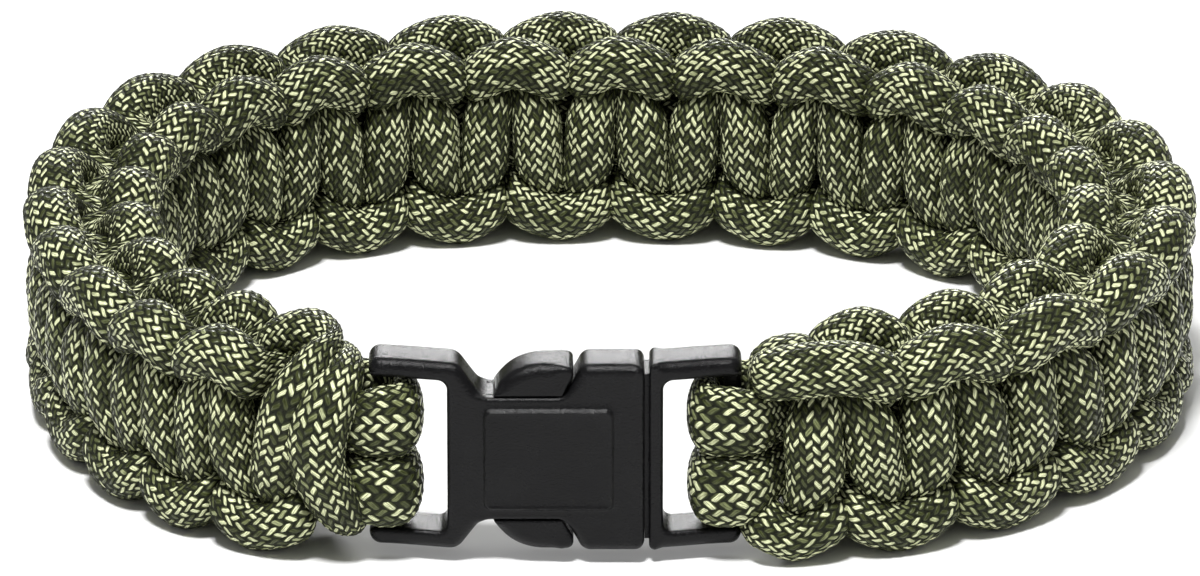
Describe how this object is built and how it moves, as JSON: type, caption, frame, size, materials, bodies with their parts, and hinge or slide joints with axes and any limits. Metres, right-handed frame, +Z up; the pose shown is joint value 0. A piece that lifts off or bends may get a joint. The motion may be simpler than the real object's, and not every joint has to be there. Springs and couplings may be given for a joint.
{
  "type": "bracelet",
  "caption": "Knotted cord bracelet in olive drab with a black side-release buckle, fastened and lying on its side.",
  "frame": {"origin": "under the middle of the loop's bounding box, on the surface that the bracelet lies on", "axes": "+X along the loop's longer width, towards the plug's side; +Y from the buckle to the back of the loop; +Z up, along the wrist's axis"},
  "size_m": [0.0938, 0.082, 0.0178],
  "materials": {
    "buckle": "fine matte moulding",
    "cord": "braided nylon sheath with a slight sheen"
  },
  "bodies": {
    "root": {"buckle_socket": "buckle", "buckle_plug": "buckle", "core_cords": "cord", "outer_weave_cord": "cord", "inner_weave_cord": "cord"}
  },
  "joints": []
}
